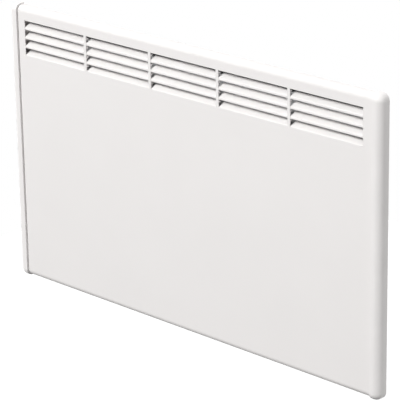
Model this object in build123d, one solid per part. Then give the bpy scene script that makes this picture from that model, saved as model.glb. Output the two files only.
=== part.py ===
from build123d import *
import math
import os

# A wall panel convector heater. A louvred steel front cover between two moulded end caps, the left one
# with the controls, closes a pressed steel tray that holds the heating element. The tray hangs on a
# wall bracket.
# Millimetres. X runs along the heater to the right, Y from the room into the wall, Z up.
# The origin is the centre of the four wall screws, on the wall.

# Driving dimensions: the whole heater
width = 675.0
height = 405.5
depth = 80.0  # front of the end caps to wall
wall_gap = 26.0  # back of the tray to wall
screw_height = 200.5  # wall screws above the lower edge of the heater

# End caps
cap_width = 15.0
cap_depth = 16.0
cap_radius = 9.5  # edges round the front
corner_radius = 10.5  # outer corners seen from the front
wall = 2.0
rib = 1.5

# Front cover
sheet = 1.0
cover_step = 3.2  # cover's front behind the front of the end caps
cover_drop = 2.0  # cover's top below the top of the end caps
cover_rise = 1.0  # cover's lower edge above that of the end caps
cover_radius = 8.0  # upper and lower front edges
cover_joint = 0.3  # open joint between cover and each end cap
return_flange = 12.0
screw_inset = 9.0  # cover screws from the heater's outline

# Louvres: lanced blades, hinged on the lower edge of each slot
louvre_groups = 5
louvre_rows = 4
first_slot = 28.5  # outer face of the left end cap to the first slot
group_pitch = 124.0
slot_width = 119.4
row_pitch = 13.1
slot_height = 11.4
slots_below_top = 21.4
blade_bend = 2.2
blade_lean = 26.5  # degrees above level
blade_reach = 9.8
blade_side_gap = 0.3

# Rear tray, seen from behind
tray_edge = 4.0  # rim set in from the heater's outline
tray_left = -266.0
tray_right = 320.0
tray_low = 16.0
tray_high = 389.5
upper_left = -312.0
upper_right = -100.0
upper_low = 316.0
tray_draft_side = 22.5
tray_draft_left = 4.0
tray_draft_end = 18.0
tray_corner = 12.0
inlet_columns = 10
inlet_rows = 3
inlet_start = -240.0
inlet_pitch = 53.0
inlet_length = 44.0
inlet_first_y = -57.0
inlet_row_pitch = 10.5
inlet_width = 5.0
bead_width = 16.0  # pressed stiffening beads
bead_depth = 1.6
upright_bead = 200.0
level_bead = 190.0

# Control housing behind the left end cap
housing_inner_side = -268.0
housing_low = 70.0
housing_high = 310.0
lid_thickness = 2.5
control_y = -45.0  # line of knob, switch and lamp on the left side
knob_height = 252.0
switch_height = 200.0
lamp_height = 174.0
gland_x = -300.0
terminal_x = -299.0
terminal_height = 143.0
terminal_spread = 5.5  # clamping screws on either side of the middle
terminal_pitch = 10.0
earth_x = -285.0
earth_height = 118.0

# Thermostat knob
knob_radius = 14.0
knob_proud = 9.5
knob_flutes = 12
recess_radius = 16.0
recess_depth = 3.0
spindle_radius = 3.0
running_gap = 0.05

# Rocker switch
rocker_throw = 16.0  # degrees from off to on
rocker_width = 9.2
rocker_pivot = 3.0  # pivot behind the side wall's face

# Heat shield and heating element
shield_left = -254.0
shield_right = 290.0
element_height = 110.0
element_y = -57.5
fin_start = -190.0
fin_end = 250.0
rod_radius = 4.2
cutout_x = -120.0
cutout_height = 175.0
bulb_height = 86.0  # sensing bulb and its capillary, in the entering air

# Wall bracket
plate = 1.5
hook_x = 160.0
hook_rise = 95.0  # hooks above and below the wall screws
rail_half_height = 125.0
rail_width = 34.0
rail_front = -24.0
crossbar_level = 45.0  # above and below the middle of the wall screws
screw_spacing_x = 284.0
screw_spacing_z = 180.0
screw_hole_radius = 2.75
screw_slot_length = 12.0

# Derived places
left = -width / 2
right = width / 2
bottom = -screw_height
top = bottom + height
front = -depth
cover_back = front + cap_depth
cover_left = left + cap_width + cover_joint
cover_right = right - cap_width - cover_joint
cover_front = front + cover_step
cover_top = top - cover_drop
cover_bottom = bottom + cover_rise
tray_back = -wall_gap
tray_rim_back = cover_back + sheet
housing_front = tray_rim_back
lid_front = tray_back - lid_thickness
shield_y = tray_back - 10.2  # front face of the heat shield


def up(distance):
    """Height above the lower edge of the heater."""
    return bottom + distance


def block(x, y, z):
    """A box between two values on each axis."""
    middle = Vector((x[0] + x[1]) / 2, (y[0] + y[1]) / 2, (z[0] + z[1]) / 2)
    return Pos(middle) * Box(x[1] - x[0], y[1] - y[0], z[1] - z[0])


def bar_x(x, y, z, radius):
    """A round bar along X."""
    return Pos((x[0] + x[1]) / 2, y, z) * Rot(0, 90, 0) * Cylinder(radius, x[1] - x[0])


def bar_y(x, y, z, radius):
    """A round bar along Y."""
    return Pos(x, (y[0] + y[1]) / 2, z) * Rot(90, 0, 0) * Cylinder(radius, y[1] - y[0])


def bar_z(x, y, z, radius):
    """A round bar along Z."""
    return Pos(x, y, (z[0] + z[1]) / 2) * Cylinder(radius, z[1] - z[0])


def side_plane(x):
    """Drawing plane across the heater: local x is Y, local y is Z, extruded towards +X."""
    return Plane(origin=(x, 0, 0), x_dir=(0, 1, 0), z_dir=(1, 0, 0))


def wall_plane(y):
    """Drawing plane facing the room: local x is X, local y is Z, extruded towards -Y."""
    return Plane(origin=(0, y, 0), x_dir=(1, 0, 0), z_dir=(0, -1, 0))


def joined(pieces):
    """One shape from pieces that touch."""
    whole = pieces[0]
    for piece in pieces[1:]:
        whole = whole + piece
    return whole


def apart(pieces):
    """A group of separate solids kept as one sub-part."""
    return Compound(children=[piece.solid() for piece in pieces])


def cap_block(inset, y_back):
    """Block with the rounded form of the right end cap, drawn in by inset on every side."""
    inner_x = right - cap_width + inset
    form = block((inner_x, right - inset), (front + inset, y_back), (bottom + inset, top - inset))
    form = fillet(form.edges().filter_by(Axis.Y).group_by(Axis.X)[-1], corner_radius - inset)
    front_face = form.faces().sort_by(Axis.Y)[0]
    outer_edges = [edge for edge in front_face.edges() if edge.center().X > inner_x + 0.01]
    return fillet(outer_edges, cap_radius - inset)


def cap_shell(rib_levels):
    """Hollow moulded end cap of the right side, open towards the wall, with its cross ribs."""
    shell = cap_block(0, cover_back) - cap_block(wall, cover_back + 1)
    core = cap_block(wall / 2, cover_back - 2)
    x = (right - cap_width, right)
    for level in rib_levels:
        shell += core & block(x, (front, cover_back), (up(level), up(level) + rib))
    return shell


def blade_section(slot_floor):
    """Section of one louvre blade with its bend, on the line where the slot starts."""
    lean = math.radians(blade_lean)
    along = Vector(math.cos(lean), math.sin(lean))
    across = Vector(-math.sin(lean), math.cos(lean))
    centre = Vector(cover_front + blade_bend, slot_floor)
    blade_length = (blade_reach - blade_bend * (1 - math.sin(lean))) / math.cos(lean)
    turn = 90 - blade_lean
    outer_end = centre + across * blade_bend
    inner_end = centre + across * (blade_bend - sheet)
    outer_start = Vector(cover_front, slot_floor)
    inner_start = Vector(cover_front + sheet, slot_floor)
    root = Vector(0, -0.4)
    outline = [
        Line(outer_start + root, outer_start),
        CenterArc(centre, blade_bend, 180, -turn),
        Polyline(outer_end, outer_end + along * blade_length, inner_end + along * blade_length, inner_end),
        CenterArc(centre, blade_bend - sheet, 180, -turn),
        Polyline(inner_start, inner_start + root, outer_start + root),
    ]
    return make_face(Curve() + outline)


def cover_screw_places():
    """Centres of the screws between cover and tray, as X and Z pairs."""
    return [(x, z) for x in (-235.0, 0.0, 235.0) for z in (up(screw_inset), top - screw_inset)]


def cap_screw_places():
    """Centres of the screws between tray and right end cap."""
    return [(right - screw_inset, z) for z in (up(104.0), up(300.0))]


def cover_block(inset, y_back):
    """Block with the pressed form of the front cover, drawn in by inset on every side."""
    x = (cover_left + inset, cover_right - inset)
    form = block(x, (cover_front + inset, y_back), (cover_bottom + inset, cover_top - inset))
    level_edges = form.faces().sort_by(Axis.Y)[0].edges().filter_by(Axis.X)
    return fillet(level_edges, cover_radius - inset)


def front_cover():
    """Pressed steel cover with its return flange and twenty lanced louvres."""
    cover = cover_block(0, cover_back) - cover_block(sheet, cover_back - sheet)
    cover -= block(
        (cover_left + return_flange, cover_right - return_flange),
        (cover_back - 2 * sheet, cover_back + 1),
        (cover_bottom + return_flange, cover_top - return_flange),
    )
    slots = []
    blades = []
    slot_depth = (cover_front - 1, cover_front + sheet + 1)
    for group in range(louvre_groups):
        slot_x = left + first_slot + group * group_pitch
        for row in range(louvre_rows):
            ceiling = top - slots_below_top - row * row_pitch
            floor = ceiling - slot_height
            slots.append(block((slot_x, slot_x + slot_width), slot_depth, (floor, ceiling)))
            section = side_plane(slot_x + blade_side_gap) * blade_section(floor)
            blades.append(extrude(section, slot_width - 2 * blade_side_gap))
    cover -= slots
    cover += blades
    cover -= [bar_y(x, (cover_back - 3, cover_back + 1), z, 1.5) for x, z in cover_screw_places()]
    return cover


def end_cap_right():
    """Moulded cap of the right end, screwed to the tray's rim from behind through two bosses."""
    cap = cap_shell([30.0 + 49.0 * step for step in range(8)])
    for x, z in cap_screw_places():
        cap += bar_y(x, (front + wall / 2, cover_back), z, 3.2)
        cap -= bar_y(x, (cover_back - 7, cover_back + 1), z, 1.5)
    return cap


def tray_form(x_range, z_range, inset, y_front, y_back):
    """Tapered block of one field of the tray: wide at the rim, smaller at the back."""
    sections = []
    for y in (y_front, y_back):
        drawn = (y - tray_rim_back) / (tray_back - tray_rim_back)
        x0 = x_range[0] + inset + tray_draft_left * drawn
        x1 = x_range[1] - inset - tray_draft_side * drawn
        z0 = up(z_range[0]) + inset + tray_draft_end * drawn
        z1 = up(z_range[1]) - inset - tray_draft_end * drawn
        plane = Plane(origin=((x0 + x1) / 2, y, (z0 + z1) / 2), x_dir=(1, 0, 0), z_dir=(0, -1, 0))
        sections.append(plane * RectangleRounded(x1 - x0, z1 - z0, tray_corner - inset))
    return loft(sections, ruled=True)


def tray_block(inset, y_front, y_back):
    """Block of the whole tray: the heating field, and the field over the controls behind the louvres."""
    heating_field = tray_form((tray_left, tray_right), (tray_low, tray_high), inset, y_front, y_back)
    upper_field = tray_form((upper_left, upper_right), (upper_low, tray_high), inset, y_front, y_back)
    return heating_field + upper_field


def hook_places():
    """Hook plate centre and the level on which the heater hangs, for the four hooks."""
    return [(side * (hook_x - plate / 2), level) for side in (-1, 1) for level in (-hook_rise, hook_rise)]


def bead_places():
    """Each stiffening bead in the tray's back: centre X, centre Z, length and turn in degrees."""
    upright = [(x, up(200.0), upright_bead, 90) for x in (-206.0, 232.0)]
    level = [(0.0, side * 88.0, level_bead, 0) for side in (-1, 1)]
    return upright + level


def beaded(tray):
    """The tray with its beads pressed in from behind."""
    for x, z, length, turn in bead_places():
        place = wall_plane(tray_back) * Pos(x, z) * Rot(0, 0, turn)
        boss = SlotOverall(length + 2 * sheet, bead_width + 2 * sheet)
        tray += extrude(place * boss, bead_depth + sheet)
        tray -= extrude(place * SlotOverall(length, bead_width), bead_depth)
    return tray


def inlet_cutters():
    """Blocks that cut the air inlet slots through the tray's drafted lower wall."""
    return [
        block(
            (inlet_start + inlet_pitch * column, inlet_start + inlet_pitch * column + inlet_length),
            (inlet_first_y + inlet_row_pitch * row, inlet_first_y + inlet_row_pitch * row + inlet_width),
            (bottom, up(46.0)),
        )
        for column in range(inlet_columns)
        for row in range(inlet_rows)
    ]


def rear_tray():
    """Pressed steel tray: rim, drafted walls, air inlet slots, stiffening beads and hook holes."""
    rim = block(
        (cover_left + 1.5, right - tray_edge),
        (cover_back, tray_rim_back),
        (bottom + tray_edge, top - tray_edge),
    )
    tray = rim + tray_block(0, tray_rim_back - sheet / 2, tray_back)
    tray -= tray_block(sheet, cover_back - 1, tray_back - sheet)
    tray = beaded(tray)
    tray -= inlet_cutters()
    tray -= [
        block((x - 4.2, x + 4.2), (tray_back - 2 * sheet, tray_back + 1), (level - 17.0, level + 1.7))
        for x, level in hook_places()
    ]
    through_rim = (cover_back - 1, tray_rim_back + 1)
    tray -= [bar_y(x, through_rim, z, 1.6) for x, z in cover_screw_places() + cap_screw_places()]
    tray -= [bar_y(x, through_rim, z, 1.55) for x, z in housing_screw_places()]
    tray -= bar_y(earth_x, through_rim, up(earth_height), 2.05)
    tray -= bar_x((tray_left - 1, tray_left + 8), control_y, up(bulb_height), 2.5)
    return tray


def housing_screw_places():
    """Centres of the screws that hold the control housing on the tray's rim."""
    return [(-295.0, up(96.0)), (-295.0, up(286.0))]


def lid_screw_places():
    """Centres of the lid screws, in the corners of the control housing."""
    return [(x, z) for x in (left + 5.0, housing_inner_side - 5.0) for z in (up(75.0), up(305.0))]


def lid_bosses():
    """Bosses for the lid screws; those at the outer wall stand on the end cap's web."""
    return [
        bar_y(x, (housing_front - 1 if x < left + 20 else housing_front + 1, lid_front), z, 3.5)
        for x, z in lid_screw_places()
    ]


def control_housing():
    """Moulded left end cap of full height, with the box for the controls behind it."""
    box_x = (left, housing_inner_side)
    box_z = (up(housing_low), up(housing_high))
    cap = mirror(cap_shell((24.0, 47.0, 333.0, 356.0, 379.0)), Plane.YZ)
    box = block(box_x, (housing_front, lid_front), box_z)
    box = fillet(box.edges().filter_by(Axis.Y), 4.0)
    neck = block((left, left + cap_width), (cover_back - 1, housing_front + 1), (box_z[0] + 4, box_z[1] - 4))
    shell = cap + box + neck
    shell -= block(
        (left + wall, left + cap_width - wall),
        (front + wall + cap_radius, lid_front),
        (box_z[0] + 2 * wall, box_z[1] - 2 * wall),
    )
    shell -= block(
        (left + wall, housing_inner_side - wall),
        (housing_front + wall, lid_front + 1),
        (box_z[0] + wall, box_z[1] - wall),
    )
    shell += lid_bosses()
    shell -= [bar_y(x, (lid_front - 14, lid_front + 1), z, 1.5) for x, z in lid_screw_places()]
    return openings_cut(shell, box_x, box_z)


def openings_cut(shell, box_x, box_z):
    """The control housing with its dial recess and its holes for controls, gland, bulb and screws."""
    dial_z = up(knob_height)
    dial_boss = bar_x((left + wall / 2, left + recess_depth + wall), control_y, dial_z, recess_radius + 1.6)
    shell += dial_boss & block(box_x, (housing_front + 0.1, lid_front), box_z)
    shell -= bar_x((left - 1, left + recess_depth), control_y, dial_z, recess_radius)
    shell -= bar_x((left, left + 10), control_y, dial_z, 4.85)
    side_wall = (left - 1, left + wall + 1)
    switch_z = up(switch_height)
    shell -= block(side_wall, (control_y - 6.5, control_y + 6.5), (switch_z - 9.6, switch_z + 9.6))
    shell -= bar_x(side_wall, control_y, up(lamp_height), 3.55)
    shell -= bar_z(gland_x, control_y, (box_z[0] - 1, box_z[0] + wall + 1), 6.05)
    shell -= bar_x((housing_inner_side - 3, housing_inner_side + 1), control_y, up(bulb_height), 2.0)
    front_wall = (housing_front - 1, housing_front + wall + 1)
    shell -= [bar_y(x, front_wall, z, 1.55) for x, z in housing_screw_places()]
    shell -= bar_y(earth_x, front_wall, up(earth_height), 2.05)
    return shell


def housing_lid():
    """Flat back cover of the control housing, with a rounded outer edge."""
    lid = block((left, housing_inner_side), (lid_front, tray_back), (up(housing_low), up(housing_high)))
    lid = fillet(lid.edges().filter_by(Axis.Y), 4.0)
    lid = chamfer(lid.faces().sort_by(Axis.Y)[-1].edges(), 1.2)
    lid -= [bar_y(x, (lid_front - 1, tray_back + 1), z, 1.6) for x, z in lid_screw_places()]
    return lid


def pan_screw(radius, length, head_radius, head_height):
    """A pan-head screw along +Z, with the underside of its head at zero."""
    head = Pos(0, 0, head_height / 2) * Cylinder(head_radius, head_height)
    return head + Pos(0, 0, -length / 2) * Cylinder(radius, length)


def hexagon_screw(radius, length, head_radius, head_height):
    """A hexagon-head sheet screw along +Z, with the underside of its head at zero."""
    head = extrude(RegularPolygon(head_radius, 6), head_height)
    head = chamfer(head.faces().sort_by(Axis.Z)[-1].edges(), 0.4)
    return head + Pos(0, 0, -length / 2) * Cylinder(radius, length)


def screws_from_behind(one, places, y):
    """Copies of one screw along Y with their heads on the wall side, as separate solids."""
    turned = Rot(-90, 0, 0) * one
    return apart([Pos(x, y, z) * turned for x, z in places])


def heat_shield():
    """Steel sheet behind the element; its top curves forward and turns the hot air to the louvres."""
    thickness = 1.0
    bend = 24.0
    foot = 6.0
    low = up(52.0)
    high = up(348.0)
    middle = Vector(shield_y - bend, high)
    outline = [
        Polyline((shield_y - foot, low), (shield_y, low), (shield_y, high)),
        CenterArc(middle, bend, 0, 90),
        Line((shield_y - bend, high + bend), (shield_y - bend, high + bend + thickness)),
        CenterArc(middle, bend + thickness, 0, 90),
        Polyline(
            (shield_y + thickness, high),
            (shield_y + thickness, low - thickness),
            (shield_y - foot, low - thickness),
            (shield_y - foot, low),
        ),
    ]
    shield = extrude(side_plane(shield_left) * make_face(Curve() + outline), shield_right - shield_left)
    shield -= [bar_y(x, (shield_y - 1, shield_y + 2), z, 1.6) for x, z in spacer_places()]
    return shield


def spacer_places():
    """Centres of the spacers between tray and heat shield."""
    return [(x, z) for x in (-225.0, 262.0) for z in (up(72.0), up(325.0))]


def shield_spacers():
    """Hexagon spacers that hold the heat shield off the tray."""
    ring_y = (shield_y + 1.0, tray_back - sheet)
    hexagon = RegularPolygon(5.5, 6) - Circle(1.6)
    one = extrude(wall_plane(ring_y[1]) * hexagon, ring_y[1] - ring_y[0])
    return apart([Pos(x, 0, z) * one for x, z in spacer_places()])


def element_fins():
    """Aluminium extrusion round the heating rod: a tube with four splayed fins, each with two ribs."""
    thickness = 1.6
    span = 64.0
    section = Circle(6.5)
    for lean in (-28.0, 28.0):
        section += Rot(0, 0, lean) * Rectangle(thickness, span)
        for end in (-1, 1):
            section += Rot(0, 0, lean) * (Pos(0, end * (span - thickness) / 2) * Rectangle(7.0, thickness))
            section += Rot(0, 0, lean) * (Pos(0, end * 0.3 * span) * Rectangle(6.0, thickness))
    section -= Circle(rod_radius + running_gap)
    plane = Plane(origin=(fin_start, element_y, up(element_height)), x_dir=(0, 1, 0), z_dir=(1, 0, 0))
    return extrude(plane * section, fin_end - fin_start)


def element_rod():
    """Steel-sheathed heating rod with the terminal pins at its ends."""
    rod = bar_x((fin_start - 24, fin_end + 24), element_y, up(element_height), rod_radius)
    pins = bar_x((fin_start - 38, fin_end + 38), element_y, up(element_height), 1.6)
    return rod + pins


def element_bush(side):
    """Ceramic bush that insulates one end of the rod in its bracket."""
    bush = Pos(0, 0, 5.0) * Cylinder(6.0, 10.0) + Pos(0, 0, 1.5) * Cylinder(9.0, 3.0)
    bush = bush - Pos(0, 0, 5.0) * Cylinder(rod_radius + running_gap, 10.0)
    turn = 90 if side < 0 else -90
    start = fin_start - 18 if side < 0 else fin_end + 18
    return Pos(start, element_y, up(element_height)) * Rot(0, turn, 0) * bush


def element_bracket(side):
    """Folded steel bracket from the heat shield to one ceramic bush."""
    plate_x = fin_start - 14.9 if side < 0 else fin_end + 13.7
    z = (up(element_height) - 17, up(element_height) + 17)
    upright = block((plate_x, plate_x + sheet), (element_y - 12, shield_y), z)
    foot_x = (plate_x - 14, plate_x + sheet) if side < 0 else (plate_x, plate_x + sheet + 14)
    foot = block(foot_x, (shield_y - sheet, shield_y), z)
    bracket = upright + foot
    bracket -= bar_x((plate_x - 1, plate_x + sheet + 1), element_y, up(element_height), 6.1)
    return bracket


def thermal_cutout():
    """Disc-type thermal cut-out with its two spade terminals."""
    z = up(cutout_height)
    body = bar_y(cutout_x, (shield_y - 9.0, shield_y), z, 8.0)
    collar = bar_y(cutout_x, (shield_y - 1.5, shield_y), z, 9.5)
    tab_y = (shield_y - 16.0, shield_y - 8.5)
    tabs = [block((x - 3.0, x + 3.0), tab_y, (z - 0.4, z + 0.4)) for x in (cutout_x - 4, cutout_x + 4)]
    return joined([body, collar] + tabs)


def cutout_clip():
    """Sheet clip that presses the cut-out's collar against the heat shield."""
    z = up(cutout_height)
    y = (shield_y - 2.3, shield_y - 1.5)
    strap = extrude(wall_plane(y[1]) * Pos(cutout_x, z) * SlotOverall(36.0, 20.0), 0.8)
    strap -= bar_y(cutout_x, (y[0] - 1, y[1] + 1), z, 8.1)
    feet = [
        block((cutout_x + side * 14 - 2.5, cutout_x + side * 14 + 2.5), (y[1], shield_y), (z - 4, z + 4))
        for side in (-1, 1)
    ]
    return joined([strap] + feet)


def thermostat_body():
    """Capillary thermostat: moulded body, threaded bush in the side wall and diaphragm chamber."""
    z = up(knob_height)
    wall_x = left + recess_depth + wall
    body = block((wall_x, wall_x + 22), (control_y - 14, control_y + 14), (z - 17, z + 17))
    body = fillet(body.edges().filter_by(Axis.X), 3.0)
    bush = bar_x((wall_x - 4.6, wall_x + 1), control_y, z, 4.75)
    chamber = bar_x((wall_x + 21, wall_x + 27), control_y, z, 13.0)
    nipple = bar_x((wall_x + 26, wall_x + 31), control_y, z, 2.4)
    tabs = [
        block((wall_x + 21, wall_x + 30), (y - 0.4, y + 0.4), (z + side * 15.2 - 1.4, z + side * 15.2 + 1.4))
        for side in (-1, 1)
        for y in (control_y - 6, control_y + 6)
    ]
    body = joined([body, bush, chamber, nipple] + tabs)
    body -= bar_x((wall_x - 6, wall_x + 8), control_y, z, spindle_radius + running_gap)
    return body


def thermostat_nut():
    """Flat hexagon nut that holds the thermostat's bush in the recess under the knob."""
    plane = side_plane(left + recess_depth - 2.0)
    ring = RegularPolygon(7.5, 6) - Circle(4.8)
    return extrude(plane * (Pos(control_y, up(knob_height)) * ring), 2.0)


def thermostat_spindle():
    """Spindle of the thermostat, flattened where the knob grips it."""
    z = up(knob_height)
    inner_end = left + recess_depth + wall + 7.5
    spindle = bar_x((left - 7.0, inner_end), control_y, z, spindle_radius)
    flat = block((left - 8.0, left - 0.5), (control_y - 4, control_y + 4), (z + 1.6, z + 4))
    return spindle - flat


def thermostat_knob():
    """Moulded knob with a fluted grip, a raised pointer and a pocket that clears the nut."""
    z = up(knob_height)
    outer = left - knob_proud
    inner = left + recess_depth - 0.6
    knob = bar_x((outer, inner), control_y, z, knob_radius)
    knob = chamfer(knob.faces().sort_by(Axis.X)[0].edges(), 0.8)
    knob -= bar_x((outer - 1, outer + 0.8), control_y, z, knob_radius - 2.8)
    flutes = []
    for step in range(knob_flutes):
        angle = math.radians(360 / knob_flutes * (step + 0.5))
        flute_y = control_y + (knob_radius + 1.0) * math.sin(angle)
        flute_z = z + (knob_radius + 1.0) * math.cos(angle)
        flutes.append(bar_x((outer - 1, left - 0.8), flute_y, flute_z, 2.0))
    knob -= flutes
    knob += block((outer + 0.1, outer + 1.5), (control_y - 0.7, control_y + 0.7), (z + 3.5, z + 10.2))
    knob -= bar_x((inner - 3.2, inner + 1), control_y, z, 8.6)
    bore = bar_x((left - 7.2, inner), control_y, z, spindle_radius + running_gap)
    bore -= block((left - 9, left - 0.5), (control_y - 4, control_y + 4), (z + 1.6 + running_gap, z + 5))
    return knob - bore


def thermostat_capillary():
    """Copper capillary from the thermostat to the sensing bulb in the air inlet."""
    z = up(knob_height)
    start_x = left + recess_depth + wall + 31
    turn_x = -283.0
    low = up(bulb_height)
    path = FilletPolyline(
        (start_x, control_y, z),
        (turn_x, control_y, z),
        (turn_x, control_y, low),
        (-252.0, control_y, low),
        radius=8.0,
    )
    tube = sweep(Plane(origin=(start_x, control_y, z), z_dir=(1, 0, 0)) * Circle(1.0), path)
    bulb = bar_x((-253.0, -201.0), control_y, low, 3.0)
    bulb = chamfer(bulb.edges().filter_by(GeomType.CIRCLE), 0.8)
    return tube + bulb


def bulb_clip():
    """Spring clip that holds the sensing bulb on the heat shield."""
    low = up(bulb_height)
    ring = extrude(side_plane(-230.0) * (Pos(control_y, low) * (Circle(4.0) - Circle(3.05))), 9.0)
    ring -= block((-231, -220), (control_y - 5, control_y - 1.6), (low - 3, low + 3))
    stem = block((-230.0, -221.0), (control_y + 3.4, shield_y - 1.0), (low - 1.0, low + 1.0))
    pad = block((-230.0, -221.0), (shield_y - 1.0, shield_y), (low - 6.0, low + 6.0))
    return joined([ring, stem, pad])


def switch_body():
    """Rocker switch: snap-in body with its bezel on the side wall, and the spade terminals."""
    z = up(switch_height)
    bezel = block((left - 1.5, left), (control_y - 7.6, control_y + 7.6), (z - 11.5, z + 11.5))
    bezel = fillet(bezel.edges().filter_by(Axis.X), 1.5)
    bezel = chamfer(bezel.faces().sort_by(Axis.X)[0].edges(), 0.6)
    body = block((left - 0.5, left + 15), (control_y - 6.4, control_y + 6.4), (z - 9.5, z + 9.5))
    switch = bezel + body
    switch -= block((left - 3, left + 9), (control_y - 5.0, control_y + 5.0), (z - 8.8, z + 8.8))
    switch -= bar_y(left + rocker_pivot, (control_y - 5.9, control_y + 5.9), z, 1.0 + running_gap)
    tabs = [
        block((left + 14, left + 22), (control_y - 2.4, control_y + 2.4), (tab_z - 0.4, tab_z + 0.4))
        for tab_z in (z - 6.0, z + 6.0)
    ]
    return joined([switch] + tabs)


def power_rocker():
    """Rocker of the power switch, resting on its off side."""
    z = up(switch_height)
    outline = Polyline(
        (-2.0, -7.7),
        (-0.2, 0),
        (-2.0, 7.7),
        (3.0, 7.3),
        (7.0, 1.6),
        (7.0, -1.6),
        (3.0, -7.3),
        (-2.0, -7.7),
    )
    plane = Plane(origin=(left, control_y + rocker_width / 2, z), x_dir=(1, 0, 0), z_dir=(0, -1, 0))
    rocker = extrude(plane * make_face(outline), rocker_width)
    rocker = fillet(rocker.faces().sort_by(Axis.X)[:2].edges().filter_by(Axis.Y).sort_by(Axis.X)[:2], 0.6)
    rocker += bar_y(left + rocker_pivot, (control_y - 5.7, control_y + 5.7), z, 1.0)
    tilt = Axis((left + rocker_pivot, control_y, z), (0, 1, 0))
    return rocker.rotate(tilt, -rocker_throw / 2)


def indicator_lens():
    """Lens of the indicator lamp with a bevelled rim, clipped into the side wall."""
    z = up(lamp_height)
    barrel = bar_x((left, left + 12), control_y, z, 3.5)
    rim = bar_x((left - 1.6, left), control_y, z, 4.8)
    rim = chamfer(rim.faces().sort_by(Axis.X)[0].edges(), 1.0)
    return barrel + rim


def cable_gland():
    """Moulded strain relief for the mains cord: collar, threaded neck and tapered tail."""
    z = up(housing_low)
    neck = bar_z(gland_x, control_y, (z, z + 9), 6.0)
    collar = bar_z(gland_x, control_y, (z - 4, z), 9.0)
    collar = chamfer(collar.faces().sort_by(Axis.Z)[0].edges(), 1.0)
    tail = Pos(gland_x, control_y, z - 11.0) * Cone(4.9, 6.6, 14.0)
    gland = joined([neck, collar, tail])
    return gland - bar_z(gland_x, control_y, (z - 20, z + 10), 3.75)


def gland_nut():
    """Hexagon nut of the strain relief, inside the control housing."""
    plane = Plane(origin=(gland_x, control_y, up(housing_low + wall)), z_dir=(0, 0, 1))
    return extrude(plane * (RegularPolygon(9.8, 6) - Circle(6.05)), 4.0)


def terminal_screw_places():
    """Centres of the clamping screws, two for each of the three poles."""
    return [
        (terminal_x + side * terminal_spread, up(terminal_height) + pole * terminal_pitch)
        for pole in (-1, 0, 1)
        for side in (-1, 1)
    ]


def terminal_block():
    """Three-pole terminal block on the front wall of the control housing."""
    y = housing_front + wall
    z = up(terminal_height)
    base = block((terminal_x - 11, terminal_x + 11), (y, y + 14), (z - 15, z + 15))
    for screw_x, screw_z in terminal_screw_places():
        base -= block((screw_x - 2.5, screw_x + 2.5), (y + 8, y + 15), (screw_z - 2.5, screw_z + 2.5))
    for pole in (-1, 0, 1):
        wire_z = z + pole * terminal_pitch
        base -= block((terminal_x - 12, terminal_x + 12), (y + 3.0, y + 6.6), (wire_z - 1.8, wire_z + 1.8))
    return base


def terminal_screws():
    """Clamping screws of the terminal block."""
    y = housing_front + wall
    return apart([bar_y(x, (y + 8, y + 12), z, 2.4) for x, z in terminal_screw_places()])


def earth_stud():
    """Earthing stud pressed into the tray's rim, with its head on the front side."""
    z = up(earth_height)
    head = bar_y(earth_x, (cover_back - 2, cover_back), z, 4.0)
    return head + bar_y(earth_x, (cover_back, housing_front + wall + 9), z, 2.0)


def earth_nut():
    """Brass nut with a washer face on the earthing stud."""
    y = housing_front + wall
    z = up(earth_height)
    washer = bar_y(earth_x, (y, y + 0.8), z, 4.6)
    hexagon = extrude(wall_plane(y + 4.0) * Pos(earth_x, z) * RegularPolygon(4.1, 6), 3.2)
    return washer + hexagon - bar_y(earth_x, (y - 1, y + 5), z, 2.05)


def slot_grommet(x, level):
    """Moulded grommet that lines one hook hole of the tray."""
    z = (level - 15.4, level + 0.1)
    lip = 1.2
    neck = block((x - 4.1, x + 4.1), (tray_back - sheet, tray_back), (z[0] - 1.5, z[1] + 1.5))
    lips = [
        block((x - 6.5, x + 6.5), (y, y + lip), (z[0] - 4, z[1] + 4))
        for y in (tray_back - sheet - lip, tray_back)
    ]
    lips = [chamfer(plate_form.edges().filter_by(Axis.Y), 2.0) for plate_form in lips]
    return joined([neck] + lips) - block((x - 2.2, x + 2.2), (tray_back - 4, tray_back + 2), z)


def hook_outline(level):
    """Side view of one hook: arm through the tray and upturned lip behind it."""
    arm_low = level - 6.0
    tip = tray_back - sheet - 7.0
    lip = tip + 3.6
    return Polyline(
        (rail_front + 2, arm_low),
        (tip + 1.5, arm_low),
        (tip, arm_low + 1.5),
        (tip, level + 6.5),
        (tip + 1.2, level + 8.0),
        (lip - 0.6, level + 8.0),
        (lip, level + 6.5),
        (lip, level),
        (rail_front, level),
        (rail_front + 2, level + 2),
        (rail_front + 2, arm_low),
    )


def bracket_rail(side):
    """Folded steel rail of the wall bracket: web on the wall, flange with two hooks."""
    flange_x = hook_x - plate
    web = block((hook_x - rail_width, hook_x), (-plate, 0), (-rail_half_height, rail_half_height))
    flange = block((flange_x, hook_x), (rail_front, 0), (-rail_half_height, rail_half_height))
    rail = web + flange
    rail -= [
        block((flange_x - 1, hook_x + 1), (rail_front - 1, rail_front + 10), (end - 10, end + 10))
        for end in (-rail_half_height, rail_half_height)
    ]
    for level in (-hook_rise, hook_rise):
        rail += extrude(side_plane(flange_x) * make_face(hook_outline(level)), plate)
        hole = wall_plane(1) * Pos(screw_spacing_x / 2, level / hook_rise * screw_spacing_z / 2)
        rail -= extrude(hole * SlotOverall(screw_slot_length, 2 * screw_hole_radius), 1 + 2 * plate)
    if side < 0:
        rail = mirror(rail, Plane.YZ)
    return rail


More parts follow.
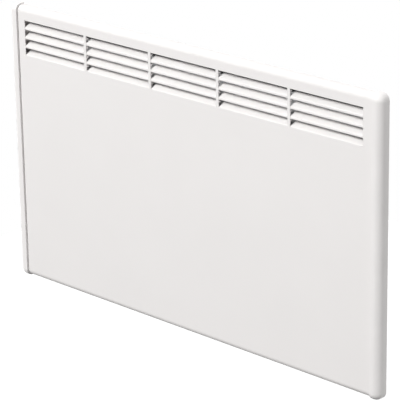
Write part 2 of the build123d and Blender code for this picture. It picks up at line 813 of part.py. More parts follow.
def bracket_crossbar(level):
    """Folded steel crossbar of the wall bracket, a shallow channel spot-welded to both rails."""
    half = 14.0
    lip_front = -9.0
    span = (plate * 2 - hook_x, hook_x - plate * 2)
    bar = block(span, (-2 * plate, -plate), (level - half, level + half))
    for edge in (-1, 1):
        z = level + edge * (half - plate / 2)
        bar += block(span, (lip_front, -plate), (z - plate / 2, z + plate / 2))
    return bar


def sub_parts():
    """Every sub-part by its node name."""
    sides = {"left": -1, "right": 1}
    levels = {"lower": -hook_rise, "upper": hook_rise}
    cover_screw = hexagon_screw(1.45, 5.0, 3.6, 2.2)
    housing_screw = pan_screw(1.45, 5.0, 3.0, 1.8)
    lid_screw = pan_screw(1.45, 14.0, 2.8, 1.6)
    cover_and_cap_screws = cover_screw_places() + cap_screw_places()
    parts = {
        "front_cover": front_cover(),
        "end_cap_right": end_cap_right(),
        "rear_tray": rear_tray(),
        "control_housing": control_housing(),
        "housing_lid": housing_lid(),
        "cover_screws": screws_from_behind(cover_screw, cover_and_cap_screws, tray_rim_back),
        "housing_screws": screws_from_behind(housing_screw, housing_screw_places(), housing_front + wall),
        "lid_screws": screws_from_behind(lid_screw, lid_screw_places(), tray_back),
        "heat_shield": heat_shield(),
        "shield_spacers": shield_spacers(),
        "element_fins": element_fins(),
        "element_rod": element_rod(),
        "thermal_cutout": thermal_cutout(),
        "cutout_clip": cutout_clip(),
        "thermostat_body": thermostat_body(),
        "thermostat_nut": thermostat_nut(),
        "thermostat_capillary": thermostat_capillary(),
        "bulb_clip": bulb_clip(),
        "thermostat_spindle": thermostat_spindle(),
        "thermostat_knob": thermostat_knob(),
        "switch_body": switch_body(),
        "power_rocker": power_rocker(),
        "indicator_lens": indicator_lens(),
        "cable_gland": cable_gland(),
        "gland_nut": gland_nut(),
        "terminal_block": terminal_block(),
        "terminal_screws": terminal_screws(),
        "earth_stud": earth_stud(),
        "earth_nut": earth_nut(),
        "bracket_crossbar_lower": bracket_crossbar(-crossbar_level),
        "bracket_crossbar_upper": bracket_crossbar(crossbar_level),
    }
    for word, side in sides.items():
        parts["element_bush_" + word] = element_bush(side)
        parts["element_bracket_" + word] = element_bracket(side)
        parts["bracket_rail_" + word] = bracket_rail(side)
        for level_word, level in levels.items():
            grommet = slot_grommet(side * (hook_x - plate / 2), level)
            parts["slot_grommet_" + level_word + "_" + word] = grommet
    return parts


os.makedirs("parts", exist_ok=True)
for node, shape in sub_parts().items():
    export_step(shape, "parts/" + node + ".step")
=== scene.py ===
import bpy
import math
from mathutils import Euler, Matrix, Vector


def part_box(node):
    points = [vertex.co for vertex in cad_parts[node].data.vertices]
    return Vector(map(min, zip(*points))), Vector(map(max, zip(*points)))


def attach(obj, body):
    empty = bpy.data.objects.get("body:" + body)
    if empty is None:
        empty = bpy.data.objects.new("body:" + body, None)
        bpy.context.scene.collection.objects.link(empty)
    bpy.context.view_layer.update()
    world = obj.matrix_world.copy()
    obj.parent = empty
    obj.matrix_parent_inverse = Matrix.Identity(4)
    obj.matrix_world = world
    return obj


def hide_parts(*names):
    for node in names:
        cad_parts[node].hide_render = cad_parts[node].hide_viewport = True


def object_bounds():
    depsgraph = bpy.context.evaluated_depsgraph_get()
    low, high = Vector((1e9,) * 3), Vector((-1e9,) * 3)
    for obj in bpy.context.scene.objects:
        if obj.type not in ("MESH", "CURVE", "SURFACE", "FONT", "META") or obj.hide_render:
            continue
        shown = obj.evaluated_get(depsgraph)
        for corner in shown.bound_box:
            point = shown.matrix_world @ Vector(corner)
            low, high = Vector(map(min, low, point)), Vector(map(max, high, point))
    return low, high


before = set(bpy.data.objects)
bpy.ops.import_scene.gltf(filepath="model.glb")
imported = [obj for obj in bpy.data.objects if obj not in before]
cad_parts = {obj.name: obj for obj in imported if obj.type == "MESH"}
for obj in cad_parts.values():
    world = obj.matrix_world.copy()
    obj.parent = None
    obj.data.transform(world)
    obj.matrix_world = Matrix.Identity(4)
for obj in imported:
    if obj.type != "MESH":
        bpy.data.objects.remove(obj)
cad_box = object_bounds()

# The studio: the heater hangs high over a pale floor, as on its wall, in plain soft light: a pale
# room, a lamp before it and above, and weaker ones at both sides, over it and behind. The camera
# stands to its right and looks down a little.
scene = bpy.context.scene
scene.view_settings.view_transform = "Standard"

camera_place = (2.03757, -2.13325, 1.02370)
camera_turns = (70.3685, 0.920, 44.033)  # degrees about X, Y and Z
camera = bpy.data.cameras.new("studio_camera")
camera.lens = 207.92
camera.sensor_width = 36.0
camera_stand = bpy.data.objects.new("studio_camera", camera)
camera_stand.location = camera_place
camera_stand.rotation_euler = Euler([math.radians(turn) for turn in camera_turns])
scene.collection.objects.link(camera_stand)
scene.camera = camera_stand


def white_to_the_eye(tree, plain, white, out):
    """Shows white to the camera and to mirror and glass rays, and the plain shader to the rest."""
    path = tree.nodes.new("ShaderNodeLightPath")
    camera_or_glass = tree.nodes.new("ShaderNodeMath")
    camera_or_glass.operation = "MAXIMUM"
    any_of_three = tree.nodes.new("ShaderNodeMath")
    any_of_three.operation = "MAXIMUM"
    mix = tree.nodes.new("ShaderNodeMixShader")
    tree.links.new(path.outputs["Is Camera Ray"], camera_or_glass.inputs[0])
    tree.links.new(path.outputs["Is Transmission Ray"], camera_or_glass.inputs[1])
    tree.links.new(camera_or_glass.outputs[0], any_of_three.inputs[0])
    tree.links.new(path.outputs["Is Glossy Ray"], any_of_three.inputs[1])
    tree.links.new(any_of_three.outputs[0], mix.inputs[0])
    tree.links.new(plain, mix.inputs[1])
    tree.links.new(white, mix.inputs[2])
    tree.links.new(mix.outputs[0], out)


pure_white = (1.0, 1.0, 1.0, 1)
horizon = 0.15  # how far above and below level the light of the room changes
light_from_below, light_from_above = 0.14, 0.42
world = bpy.data.worlds.new("studio_room")
scene.world = world
world.use_nodes = True
room = world.node_tree
room_light = room.nodes["Background"]
room_light.inputs["Color"].default_value = pure_white
room_direction = room.nodes.new("ShaderNodeTexCoord")
room_height = room.nodes.new("ShaderNodeSeparateXYZ")
room_level = room.nodes.new("ShaderNodeMapRange")
room_level.inputs["From Min"].default_value = -horizon
room_level.inputs["From Max"].default_value = horizon
room_level.inputs["To Min"].default_value = light_from_below
room_level.inputs["To Max"].default_value = light_from_above
room.links.new(room_direction.outputs["Generated"], room_height.inputs[0])
room.links.new(room_height.outputs["Z"], room_level.inputs["Value"])
room.links.new(room_level.outputs["Result"], room_light.inputs["Strength"])
room_white = room.nodes.new("ShaderNodeBackground")
room_white.inputs["Color"].default_value = pure_white
room_white.inputs["Strength"].default_value = 1.0
white_to_the_eye(
    room,
    plain=room_light.outputs[0],
    white=room_white.outputs[0],
    out=room.nodes["World Output"].inputs["Surface"],
)

lamp_distance = 6.0
lamp_width = 2.5


def studio_lamp(name, level, side, glints=True):
    """A broad lamp; level 1 lights a face turned to it as bright as its colour is written."""
    lamp = bpy.data.lights.new(name, "AREA")
    lamp.shape = "DISK"
    lamp.size = lamp_width
    lamp.energy = level * math.pi**2 * lamp_distance**2
    stand = bpy.data.objects.new(name, lamp)
    stand.location = lamp_distance * Vector(side).normalized()
    stand.rotation_euler = Vector(side).to_track_quat("Z", "Y").to_euler()
    stand.visible_glossy = glints
    scene.collection.objects.link(stand)


studio_lamp("front_lamp", 0.97, (-0.165, -0.82, 0.642))
studio_lamp("left_lamp", 0.45, (-1.0, 0.15, 0.1), glints=False)
studio_lamp("right_lamp", 0.29, (0.94, 0.34, 0.05), glints=False)
studio_lamp("top_lamp", 0.15, (-0.1, 0.5, 0.87))
studio_lamp("back_lamp", 0.35, (-0.2, 1.0, 0.2))

floor_width = 3.0
floor_drop = 0.5
floor_grey = (0.4, 0.4, 0.4, 1)
floor_place = (0, 0, cad_box[0].z - floor_drop)
bpy.ops.object.select_all(action="DESELECT")
bpy.ops.mesh.primitive_plane_add(size=floor_width, location=floor_place)
floor = bpy.context.object
floor.name = "studio_floor"
floor_finish = bpy.data.materials.new("pale_floor")
floor_finish.use_nodes = True
floor_tree = floor_finish.node_tree
floor_plain = floor_tree.nodes["Principled BSDF"]
floor_plain.inputs["Base Color"].default_value = floor_grey
floor_plain.inputs["Roughness"].default_value = 0.9
floor_glow = floor_tree.nodes.new("ShaderNodeEmission")
floor_glow.inputs["Strength"].default_value = 0.55
floor_white = floor_tree.nodes.new("ShaderNodeAddShader")
floor_tree.links.new(floor_plain.outputs[0], floor_white.inputs[0])
floor_tree.links.new(floor_glow.outputs[0], floor_white.inputs[1])
white_to_the_eye(
    floor_tree,
    plain=floor_plain.outputs[0],
    white=floor_white.outputs[0],
    out=floor_tree.nodes["Material Output"].inputs["Surface"],
)
floor.data.materials.append(floor_finish)
floor.visible_diffuse = False
floor.visible_shadow = False


# Front cover: 1 mm sheet steel, pressed with rounded edges and lanced with twenty louvres, then
# coated with a satin white powder that levels to a faint orange peel.
def new_finish(name, colour, roughness, metallic=0.0, shine=0.5):
    """A new surface of one colour, whose detail the caller adds."""
    finish = bpy.data.materials.new(name)
    finish.use_nodes = True
    shader = finish.node_tree.nodes["Principled BSDF"]
    shader.inputs["Base Color"].default_value = (*colour, 1)
    shader.inputs["Roughness"].default_value = roughness
    shader.inputs["Metallic"].default_value = metallic
    shader.inputs["Specular IOR Level"].default_value = shine
    return finish


def noise_of(finish, size, detail=2.0, stretch=(1, 1, 1)):
    """Noise whose grains are about size metres across, on the piece's own coordinates."""
    tree = finish.node_tree
    place = tree.nodes.new("ShaderNodeTexCoord")
    mapping = tree.nodes.new("ShaderNodeMapping")
    mapping.inputs["Scale"].default_value = stretch
    noise = tree.nodes.new("ShaderNodeTexNoise")
    noise.inputs["Scale"].default_value = 1 / size
    noise.inputs["Detail"].default_value = detail
    tree.links.new(place.outputs["Object"], mapping.inputs["Vector"])
    tree.links.new(mapping.outputs["Vector"], noise.inputs["Vector"])
    return noise.outputs["Fac"]


least_amount, most_amount = 0.3, 0.7  # between these lies most of a noise


def blend_of(finish, amount, low, high):
    """A colour between low and high, by amount."""
    ramp = finish.node_tree.nodes.new("ShaderNodeValToRGB")
    stops = ramp.color_ramp.elements
    stops[0].position = least_amount
    stops[0].color = (*low, 1)
    stops[1].position = most_amount
    stops[1].color = (*high, 1)
    finish.node_tree.links.new(amount, ramp.inputs["Fac"])
    return ramp.outputs["Color"]


def range_of(finish, amount, low, high):
    """A number between low and high, by amount."""
    span = finish.node_tree.nodes.new("ShaderNodeMapRange")
    span.inputs["From Min"].default_value = least_amount
    span.inputs["From Max"].default_value = most_amount
    span.inputs["To Min"].default_value = low
    span.inputs["To Max"].default_value = high
    finish.node_tree.links.new(amount, span.inputs["Value"])
    return span.outputs["Result"]


def to_shader(finish, name, output):
    """Joins an output to the named socket of the surface's shader."""
    shader = finish.node_tree.nodes["Principled BSDF"]
    finish.node_tree.links.new(output, shader.inputs[name])


def uneven_colour(finish, amount, colour, darkest):
    """Lets the colour fall to darkest times itself, by amount."""
    darker = [darkest * part for part in colour]
    to_shader(finish, "Base Color", blend_of(finish, amount, darker, colour))


def uneven_gloss(finish, amount, low, high):
    """Lets the roughness change between low and high, by amount."""
    to_shader(finish, "Roughness", range_of(finish, amount, low, high))


def relief(finish, height, depth):
    """Raises the surface by height times depth metres."""
    bump = finish.node_tree.nodes.new("ShaderNodeBump")
    bump.inputs["Strength"].default_value = 1.0
    bump.inputs["Distance"].default_value = depth
    finish.node_tree.links.new(height, bump.inputs["Height"])
    to_shader(finish, "Normal", bump.outputs["Normal"])


def powder_coat(name, colour):
    """Satin powder coat: orange peel, faint flow marks and slightly uneven gloss."""
    finish = new_finish(name, colour, 0.5, shine=0.15)
    flow_marks = noise_of(finish, size=0.09, detail=3.0)
    gloss_patches = noise_of(finish, size=0.05, detail=4.0)
    orange_peel = noise_of(finish, size=0.0016)
    uneven_colour(finish, flow_marks, colour, darkest=0.985)
    uneven_gloss(finish, gloss_patches, low=0.5, high=0.6)
    relief(finish, orange_peel, depth=0.000012)
    return finish


def give_finish(piece, finish):
    """Puts a surface on a piece in place of any that it has."""
    piece.data.materials.clear()
    piece.data.materials.append(finish)


def dress(finish, *names):
    """Puts a surface on CAD nodes."""
    for name in names:
        give_finish(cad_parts[name], finish)


dress(powder_coat("white_powder_coat", (0.82, 0.80, 0.79)), "front_cover")


# Wall bracket: two folded sheet-steel rails with hooks and two shallow channels, spot-welded
# together and powder-coated like the cover. It is screwed to the wall, and the heater hangs on it.
dress(
    powder_coat("bracket_coat", (0.80, 0.80, 0.79)),
    "bracket_rail_left",
    "bracket_rail_right",
    "bracket_crossbar_lower",
    "bracket_crossbar_upper",
)


# Rear tray and inner sheet parts: hot-dip galvanised steel, whose zinc froze in spangles. The tray
# has dulled in store, and the heat shield and the small parts behind the cover are still bright.
crystals_per_metre = 150.0
along_the_heater = (0.05, 1, 1)


def galvanised(name, dull, bright, gloss):
    """Zinc spangle: flat crystals, each with its own tone and gloss, under fine rolling lines."""
    finish = new_finish(name, bright, gloss, metallic=1.0)
    tree = finish.node_tree
    place = tree.nodes.new("ShaderNodeTexCoord")
    crystals = tree.nodes.new("ShaderNodeTexVoronoi")
    crystals.inputs["Scale"].default_value = crystals_per_metre
    tone = tree.nodes.new("ShaderNodeSeparateColor")
    tree.links.new(place.outputs["Object"], crystals.inputs["Vector"])
    tree.links.new(crystals.outputs["Color"], tone.inputs["Color"])
    rolling_lines = noise_of(finish, size=0.0009, stretch=along_the_heater)
    to_shader(finish, "Base Color", blend_of(finish, tone.outputs["Red"], dull, bright))
    uneven_gloss(finish, tone.outputs["Green"], gloss, gloss + 0.1)
    relief(finish, rolling_lines, depth=0.000006)
    return finish


dress(
    galvanised("galvanised_sheet", dull=(0.45, 0.46, 0.47), bright=(0.53, 0.54, 0.55), gloss=0.42),
    "rear_tray",
)
dress(
    galvanised(
        "bright_galvanised_sheet", dull=(0.76, 0.77, 0.78), bright=(0.83, 0.84, 0.85), gloss=0.55
    ),
    "heat_shield",
    "element_bracket_left",
    "element_bracket_right",
    "cutout_clip",
    "bulb_clip",
)


# Control housing, its lid and the right end cap: injection-moulded in the cover's white, with
# spark-eroded grain. Housing and cap are screwed to the tray's rim, and the lid to the housing.
def moulding(name, colour, roughness, depth=0.00002, shine=0.5):
    """A moulded surface with the grain of its tool and a gloss that changes a little."""
    finish = new_finish(name, colour, roughness, shine=shine)
    colour_patches = noise_of(finish, size=0.04, detail=3.0)
    gloss_patches = noise_of(finish, size=0.03, detail=3.0)
    tool_grain = noise_of(finish, size=0.0007, detail=3.0)
    uneven_colour(finish, colour_patches, colour, darkest=0.97)
    uneven_gloss(finish, gloss_patches, roughness - 0.04, roughness + 0.04)
    relief(finish, tool_grain, depth)
    return finish


dress(
    moulding("white_moulding", (0.83, 0.81, 0.80), 0.55),
    "control_housing",
    "end_cap_right",
    "housing_lid",
)


# Thermostat knob: one moulding in pale grey plastic, fluted for the fingers, with a raised pointer.
# It is pressed onto the flattened end of the thermostat's spindle.
dress(moulding("knob_moulding", (0.73, 0.735, 0.735), 0.42), "thermostat_knob")


# Black mouldings: the bodies of the thermal cut-out, the thermostat and the switch, the nut of the
# strain relief, and the grommets that snap into the tray's hook holes. All are of filled nylon.
dark = moulding("dark_moulding", (0.028, 0.028, 0.031), 0.45, shine=0.25)
dress(
    dark,
    "thermal_cutout",
    "thermostat_body",
    "switch_body",
    "gland_nut",
    "slot_grommet_lower_left",
    "slot_grommet_lower_right",
    "slot_grommet_upper_left",
    "slot_grommet_upper_right",
)


# Terminal block: cream moulding with three wire ways and a well over each clamping screw. It sits
# on the front wall of the control housing.
dress(moulding("cream_moulding", (0.76, 0.72, 0.60), 0.5), "terminal_block")


# Switch rocker: glossy black moulding from a polished tool. Its two pivot pins snap into the
# switch body.
rocker_finish = moulding("rocker_moulding", (0.02, 0.02, 0.021), 0.3, depth=0.000003, shine=0.3)
dress(rocker_finish, "power_rocker")


# Element bushes: unglazed ceramic, pressed and fired. They sit in the element's brackets and
# insulate the ends of the heating rod.
dress(moulding("ceramic", (0.86, 0.84, 0.78), 0.75), "element_bush_left", "element_bush_right")


# Small zinc-plated steel parts: hexagon spacers between tray and heat shield, and the nut and the
# turned spindle of the thermostat.
def plain_metal(name, colour, roughness, stretch=(1, 1, 1)):
    """Worked metal with faint tool lines and uneven gloss."""
    finish = new_finish(name, colour, roughness, metallic=1.0)
    colour_patches = noise_of(finish, size=0.006, detail=3.0)
    tool_lines = noise_of(finish, size=0.0006, stretch=stretch)
    uneven_colour(finish, colour_patches, colour, darkest=0.85)
    uneven_gloss(finish, tool_lines, roughness - 0.07, roughness + 0.07)
    relief(finish, tool_lines, depth=0.000008)
    return finish


zinc_plate = plain_metal("zinc_screws", (0.66, 0.66, 0.63), 0.3)
dress(zinc_plate, "shield_spacers", "thermostat_nut", "thermostat_spindle")


# Heating element: a rod in a drawn steel sheath that heat has darkened, inside an extruded
# aluminium tube with four splayed fins.
drawn_steel = plain_metal("sheath_steel", (0.30, 0.28, 0.27), 0.5, stretch=along_the_heater)
dress(drawn_steel, "element_rod")
die_lines = (0.02, 1, 1)
extrusion = plain_metal("extruded_aluminium", (0.66, 0.67, 0.68), 0.42, stretch=die_lines)
dress(extrusion, "element_fins")


# Thermostat capillary: thin drawn copper tube from the thermostat down to its sensing bulb, which a
# spring clip holds on the heat shield in the entering air.
dress(plain_metal("copper", (0.62, 0.33, 0.21), 0.4), "thermostat_capillary")


# Brass parts: the clamping screws of the terminal block, and the earthing stud, pressed into the
# tray's rim, with its nut.
dress(plain_metal("brass", (0.72, 0.55, 0.27), 0.32), "terminal_screws", "earth_stud", "earth_nut")


# Screws: zinc-plated steel, cold-headed, all driven from the wall side. Six-sided heads with a
# washer hold the cover and the right end cap, pan heads the control housing and its lid.
low, high = cad_box[0].z, cad_box[1].z
knob_proud = 0.0095
left, right = cad_box[0].x + knob_proud, cad_box[1].x
wall_side = (math.radians(-90), 0, 0)
recess_arm = 0.0008
recess_bottom = 0.5  # of the width of its mouth
shank_radius = 0.00145
end_step, end_length = 0.0005, 0.001
head_rounding = 0.0003


def upper_face(centre, normal):
    """Whether a face looks up along the piece's own axis."""
    return normal.z > 0.5


def lower_face(centre, normal):
    """Whether a face looks down along the piece's own axis."""
    return normal.z < -0.5


def side_face(centre, normal):
    """Whether a face looks away from the piece's own axis."""
    return abs(normal.z) < 0.5


def pick(piece, wanted):
    """Selects, in edit mode, the faces whose centre and normal pass the test."""
    bpy.ops.mesh.select_mode(type="FACE")
    bpy.ops.mesh.select_all(action="DESELECT")
    bpy.ops.object.mode_set(mode="OBJECT")
    for face in piece.data.polygons:
        face.select = wanted(face.center, face.normal)
    bpy.ops.object.mode_set(mode="EDIT")


def draw_out(rise):
    """Draws the picked faces out of the piece by rise, or sinks them where it is negative."""
    bpy.ops.mesh.extrude_region_shrink_fatten(TRANSFORM_OT_shrink_fatten={"value": rise})


def inset(width):
    """Shrinks the picked faces by width and leaves a border round them."""
    bpy.ops.mesh.inset(thickness=width, depth=0.0)


def step(width, rise):
    """Insets the picked face by width, then draws it out by rise."""
    inset(width)
    draw_out(rise)


def round_edges(radius, segments):
    """Rounds the edges round the picked faces."""
    bpy.ops.mesh.bevel(offset=radius, segments=segments, affect="EDGES")


def clear_bench():
    """Leaves edit mode and selects nothing."""
    if bpy.context.object and bpy.context.object.mode == "EDIT":
        bpy.ops.object.mode_set(mode="OBJECT")
    bpy.ops.object.select_all(action="DESELECT")


def only(piece):
    """Makes a piece the only selected and active one, in object mode."""
    clear_bench()
    piece.select_set(True)
    bpy.context.view_layer.objects.active = piece


def primitive(add, **size):
    """Adds a primitive on its own and opens it for editing."""
    clear_bench()
    add(**size)
    bpy.ops.object.mode_set(mode="EDIT")
    return bpy.context.object


def joined(piece, others):
    """Joins others to a piece, each still a solid of its own."""
    only(piece)
    for other in others:
        other.select_set(True)
    bpy.ops.object.join()
    return piece


def settled(piece, sharp=30.0):
    """Bakes a piece's place into its mesh, turns its faces outwards and smooths its round ones."""
    only(piece)
    bpy.ops.object.transform_apply(location=True, rotation=True, scale=True)
    bpy.ops.object.mode_set(mode="EDIT")
    bpy.ops.mesh.select_all(action="SELECT")
    bpy.ops.mesh.remove_doubles(threshold=0.000002)
    bpy.ops.mesh.normals_make_consistent(inside=False)
    bpy.ops.object.mode_set(mode="OBJECT")
    bpy.ops.object.shade_smooth_by_angle(angle=math.radians(sharp))
    return piece


def repeated(piece, steps):
    """Copies a settled piece by each step and joins the copies to it."""
    copies = []
    for offset in steps:
        only(piece)
        bpy.ops.object.duplicate(linked=False)
        bpy.context.object.location = offset
        bpy.ops.object.transform_apply(location=True, rotation=False, scale=False)
        copies.append(bpy.context.object)
    return joined(piece, copies)


def steps_between(places):
    """The steps from the first place to each of the others, all at one depth."""
    return [(x - places[0][0], 0, z - places[0][1]) for x, z in places[1:]]


def disc(place, radius, height, sides=32):
    """A disc with its underside at place and its top to the wall, open for editing."""
    return primitive(
        bpy.ops.mesh.primitive_cylinder_add,
        vertices=sides,
        radius=radius,
        depth=height,
        location=Vector(place) + Vector((0, height / 2, 0)),
        rotation=wall_side,
    )


def shank(radius, length):
    """Draws a shank with a narrower end out of the underside of a head of that radius."""
    step(radius - shank_radius, length - end_length)
    step(end_step, end_length)


def cross_cut(head, height, reach, depth):
    """Cuts a cross recess with leaning walls into the flat top of a head of that height."""
    cutter = primitive(
        bpy.ops.mesh.primitive_cube_add,
        size=recess_arm,
        location=head.matrix_world @ Vector((0, 0, height / 2)),
        rotation=head.rotation_euler,
    )
    pick(cutter, side_face)
    beyond_cube = {"value": reach - recess_arm / 2}
    bpy.ops.mesh.extrude_faces_move(TRANSFORM_OT_shrink_fatten=beyond_cube)
    pick(cutter, lower_face)
    draw_out(depth - recess_arm / 2)
    narrowed = (recess_bottom, recess_bottom, 1.0)
    bpy.ops.transform.resize(value=narrowed, orient_type="LOCAL")
    only(head)
    cut = head.modifiers.new("cross_recess", "BOOLEAN")
    cut.operation = "DIFFERENCE"
    cut.solver = "EXACT"
    cut.object = cutter
    bpy.ops.object.modifier_apply(modifier=cut.name)
    bpy.data.objects.remove(cutter)


cover_seat = -0.0630
cover_inset = 0.009
cover_columns = (-0.235, 0.0, 0.235)
cap_rises = (0.104, 0.3)  # of the two screws of the right end cap
cover_places = [(x, z) for x in cover_columns for z in (low + cover_inset, high - cover_inset)]
cover_places += [(right - cover_inset, low + rise) for rise in cap_rises]
first_x, first_z = cover_places[0]
hexagon_radius, hexagon_height = 0.0031, 0.0016
washer_radius, washer_height = 0.0036, 0.0007
hexagon_sunk = 0.0001
hexagon_seat = cover_seat + washer_height - hexagon_sunk

hexagon_head = disc((first_x, hexagon_seat, first_z), hexagon_radius, hexagon_height, sides=6)
pick(hexagon_head, upper_face)
round_edges(head_rounding, segments=2)
only(hexagon_head)
cross_cut(hexagon_head, hexagon_height, reach=0.0016, depth=0.0013)
washer = disc((first_x, cover_seat, first_z), washer_radius, washer_height)
pick(washer, upper_face)
round_edges(head_rounding, segments=3)
pick(washer, lower_face)
shank(washer_radius, length=0.005)
cover_screw = settled(joined(hexagon_head, [washer]))
cover_screws = repeated(cover_screw, steps_between(cover_places))
cover_screws.name = "cover_screw_set"


def pan_head_screws(places, seat, radius, height, length):
    """Domed heads with a cross recess on a shank, one at each place, their undersides at seat."""
    head = disc((places[0][0], seat, places[0][1]), radius, height)
    pick(head, upper_face)
    round_edges(0.45 * height, segments=4)
    pick(head, lower_face)
    shank(radius, length)
    only(head)
    cross_cut(head, height, reach=0.5 * radius, depth=0.7 * height)
    return repeated(settled(head), steps_between(places))


housing_column, housing_rises = -0.295, (0.096, 0.286)
housing_places = [(housing_column, low + rise) for rise in housing_rises]
housing_screws = pan_head_screws(
    housing_places, seat=-0.061, radius=0.003, height=0.0018, length=0.005
)
housing_screws.name = "housing_screw_set"

lid_columns, lid_rises = (left + 0.005, -0.273), (0.075, 0.305)
lid_places = [(x, low + rise) for x in lid_columns for rise in lid_rises]
lid_screws = pan_head_screws(lid_places, seat=-0.026, radius=0.0028, height=0.0016, length=0.014)
lid_screws.name = "lid_screw_set"

for piece, node in (
    (cover_screws, "cover_screws"),
    (housing_screws, "housing_screws"),
    (lid_screws, "lid_screws"),
):
    give_finish(piece, zinc_plate)
    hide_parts(node)
    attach(piece, "heater")


# Indicator lamp: moulded amber lens with a narrow rim, domed over the lamp and clipped into the
# left side wall. Its colour carries painted light: a painted glow, palest over the lamp, and
# painted shade that deepens towards the rim.
lamp_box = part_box("indicator_lens")
lamp_middle = (lamp_box[0] + lamp_box[1]) / 2
to_the_left = (0, math.radians(-90), 0)
rim_radius, rim_height, rim_rounding = 0.0048, 0.0010, 0.00045
barrel_radius, barrel_length = 0.0035, 0.0110
barrel_end_step, barrel_end_length = 0.0006, 0.0010
groove_width, groove_depth = 0.0004, 0.0004
foot_width, foot_rise = 0.0001, 0.00035
# Rise and inset of each step of the dome.
dome_steps = ((0.00028, 0.00025), (0.00020, 0.0004), (0.00012, 0.0006), (0.00004, 0.0008))
# Reach of the painted glow. The amber is painted pale over the lamp as painted glow, and deep at
# the rim as painted shade.
painted_glow_radius = 0.0052
amber_painted_shade, amber_painted_glow = (0.58, 0.13, 0.01), (0.92, 0.38, 0.05)


def flat_top(centre, normal):
    """Whether a face looks straight up along the piece's own axis."""
    return normal.z > 0.99


amber = moulding("amber_lens", (0.85, 0.32, 0.04), 0.12, depth=0.000002)
amber_tree = amber.node_tree
lens_place = amber_tree.nodes.new("ShaderNodeTexCoord")
centred = amber_tree.nodes.new("ShaderNodeMapping")
centred.vector_type = "TEXTURE"
centred.inputs["Location"].default_value = (left, lamp_middle.y, lamp_middle.z)
centred.inputs["Scale"].default_value = (painted_glow_radius, painted_glow_radius, painted_glow_radius)
# A spherical gradient from the lamp's middle paints the glow and the shade into the lens colour.
painted_glow = amber_tree.nodes.new("ShaderNodeTexGradient")
painted_glow.gradient_type = "SPHERICAL"
amber_tree.links.new(lens_place.outputs["Object"], centred.inputs["Vector"])
amber_tree.links.new(centred.outputs["Vector"], painted_glow.inputs["Vector"])
to_shader(amber, "Base Color", blend_of(amber, painted_glow.outputs["Fac"], amber_painted_shade, amber_painted_glow))

lens = primitive(
    bpy.ops.mesh.primitive_cylinder_add,
    vertices=48,
    radius=rim_radius,
    depth=rim_height,
    location=(left - rim_height / 2, lamp_middle.y, lamp_middle.z),
    rotation=to_the_left,
)
pick(lens, lower_face)
step(rim_radius - barrel_radius, barrel_length)
step(barrel_end_step, barrel_end_length)
pick(lens, upper_face)
round_edges(rim_rounding, segments=3)
pick(lens, flat_top)
step(groove_width, -groove_depth)
step(foot_width, foot_rise)
for rise, width in dome_steps:
    draw_out(rise)
    inset(width)
settled(lens, sharp=50.0).name = "indicator_dome"
give_finish(lens, amber)
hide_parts("indicator_lens")
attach(lens, "heater")


# Strain relief: black nylon gland under the control housing, with a grip-fluted collar and a
# tapered tail whose rings let it bend with a cord.
gland_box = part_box("cable_gland")
gland_middle = (gland_box[0] + gland_box[1]) / 2
collar_radius, collar_height, collar_rounding = 0.0090, 0.0040, 0.0008
neck_radius, neck_length = 0.0060, 0.0090
bore_radius, bore_length = 0.00375, 0.0270
tail_radius, tail_length, mouth_radius = 0.0066, 0.0140, 0.0039
collar_level = gland_box[0].z + tail_length + collar_height / 2
# Drop and change of radius of each step of the tail: four rings and the end.
tail_ring = ((0.0018, 0.97), (0.0001, 0.88), (0.0009, 1.0), (0.0001, 1.09))
tail_steps = 4 * tail_ring + ((0.0023, 0.96),)
flute_count, flute_depth = 16, 0.0005
flute_pitch = math.radians(360 / flute_count)


def tail_root(centre, normal):
    """Whether a face is the flat underside of the collar, inside its rounding."""
    return normal.z < -0.99 and centre.z < -0.375 * collar_height


def in_a_flute(centre, normal):
    """Whether a face of the collar's side lies in one of its flutes."""
    on_side = abs(normal.z) < 0.1 and math.hypot(centre.x, centre.y) > 0.97 * collar_radius
    return on_side and math.atan2(centre.y, centre.x) % flute_pitch < 0.5 * flute_pitch


gland = primitive(
    bpy.ops.mesh.primitive_cylinder_add,
    vertices=64,
    radius=collar_radius,
    depth=collar_height,
    location=(gland_middle.x, gland_middle.y, collar_level),
)
pick(gland, lower_face)
round_edges(collar_rounding, segments=3)
pick(gland, upper_face)
step(collar_radius - neck_radius, neck_length)
step(neck_radius - bore_radius, -bore_length)
bpy.ops.mesh.delete(type="FACE")
pick(gland, tail_root)
inset(collar_radius - collar_rounding - tail_radius)
end_radius = tail_radius
for drop, change in tail_steps:
    bpy.ops.mesh.extrude_region_move(TRANSFORM_OT_translate={"value": (0, 0, -drop)})
    bpy.ops.transform.resize(value=(change, change, 1.0))
    end_radius *= change
inset(end_radius - mouth_radius)
bpy.ops.mesh.delete(type="FACE")
bpy.ops.mesh.select_mode(type="EDGE")
bpy.ops.mesh.select_all(action="DESELECT")
bpy.ops.mesh.select_non_manifold()
bpy.ops.mesh.bridge_edge_loops()
pick(gland, in_a_flute)
draw_out(-flute_depth)
settled(gland, sharp=35.0).name = "strain_relief"
give_finish(gland, dark)
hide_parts("cable_gland")
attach(gland, "heater")


# Dial scale: four numbers and dots pad-printed in grey ink on the side wall round the knob's
# recess. The knob points straight up at rest and turns to 1 and to 4.
knob_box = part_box("thermostat_knob")
dial = (knob_box[0] + knob_box[1]) / 2
# Degrees from the top of the dial, and distance from its middle.
number_turns, number_ring = (-135, -45, 45, 135), 0.0200
dot_turns, dot_ring = (-112.5, -67.5, -22.5, 0, 22.5, 67.5, 112.5), 0.0174
dot_radius = 0.00035
figure_height = 0.0030
capital_height = 0.7  # of the size of the letters
half_thickness = 0.00002
ink_height = 0.00003
middle_rise = 0.00001
facing_left = Euler((math.radians(90), 0, math.radians(-90))).to_matrix().to_4x4()
ink = moulding("grey_ink", (0.16, 0.16, 0.17), 0.5, depth=0.000002)


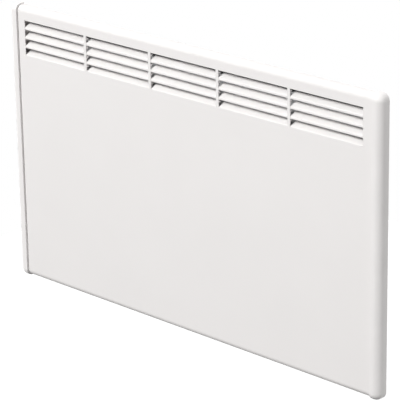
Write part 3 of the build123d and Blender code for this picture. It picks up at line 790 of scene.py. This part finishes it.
def printed(text, place, tilt, finish):
    """A figure printed a few hundredths of a millimetre thick, facing left, leaning by tilt."""
    clear_bench()
    bpy.ops.object.text_add()
    figure = bpy.context.object
    figure.data.body = text
    figure.data.size = figure_height / capital_height
    figure.data.extrude = half_thickness
    figure.data.resolution_u = 6
    figure.data.align_x = "CENTER"
    figure.data.align_y = "CENTER"
    only(figure)
    bpy.ops.object.convert(target="MESH")
    figure = bpy.context.object
    leaning = Matrix.Rotation(math.radians(tilt), 4, "Y")
    figure.matrix_world = Matrix.Translation(place) @ leaning @ facing_left
    give_finish(settled(figure), finish)
    return figure


def stamped(rise, border):
    """Gives a flat print its thickness and a middle a little higher than its border."""
    bpy.ops.mesh.select_all(action="SELECT")
    draw_out(rise)
    bpy.ops.mesh.inset(thickness=border, depth=middle_rise)


def on_dial(turn, radius):
    """A place on the side wall at an angle from the top of the dial, clockwise as seen."""
    turn = math.radians(turn)
    y = dial.y - radius * math.sin(turn)
    z = dial.z + radius * math.cos(turn)
    return Vector((left - ink_height, y, z))


number_places = [on_dial(turn, number_ring) for turn in number_turns]
figures = [printed(text, place, 0, ink) for text, place in zip("1234", number_places)]
numbers = joined(figures[0], figures[1:])
numbers.name = "dial_numbers"

dot_places = [on_dial(turn, dot_ring) for turn in dot_turns]
dots = primitive(
    bpy.ops.mesh.primitive_circle_add,
    vertices=16,
    radius=dot_radius,
    fill_type="NGON",
    location=dot_places[0],
    rotation=to_the_left,
)
stamped(ink_height, border=0.00008)
dots = repeated(settled(dots), [place - dot_places[0] for place in dot_places[1:]])
dots.name = "dial_dots"
give_finish(dots, ink)
for piece in (numbers, dots):
    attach(piece, "heater")


# Knob pointer: a line of grey ink hot-stamped on the raised rib of the knob's face. It stays a
# little short of both ends of the rib.
line_length, line_slimness = 0.0058, 0.15
line_middle = 0.00685  # from the knob's axis
line_foot = 0.00008  # behind the knob's rim
line = primitive(
    bpy.ops.mesh.primitive_plane_add,
    size=line_length,
    location=(knob_box[0].x + line_foot, dial.y, dial.z + line_middle),
    rotation=to_the_left,
)
bpy.ops.mesh.select_all(action="SELECT")
bpy.ops.transform.resize(value=(1.0, line_slimness, 1.0), orient_type="LOCAL")
stamped(0.00004, border=0.00006)
settled(line).name = "knob_pointer_line"
give_finish(line, ink)
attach(line, "thermostat_knob")


# Rocker marks: I and O printed in white ink, one on each face of the switch rocker. Each stands
# proud of the side wall and leans as its face does while the switch is off.
rocker_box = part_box("power_rocker")
rocker_middle = (rocker_box[0] + rocker_box[1]) / 2
pivot_level = low + 0.200
white_ink = moulding("white_ink", (0.80, 0.80, 0.78), 0.45, depth=0.000002)
# Letter, name, how far its face stands proud, height from the pivot and lean in degrees.
for text, name, proud, rise, tilt in (
    ("I", "rocker_mark_on", 0.001596, 0.003242, -21.2),
    ("O", "rocker_mark_off", 0.000524, -0.004384, 5.2),
):
    place = Vector((left - proud - ink_height, rocker_middle.y, pivot_level + rise))
    mark = printed(text, place, tilt, white_ink)
    mark.name = name
    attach(mark, "power_rocker")
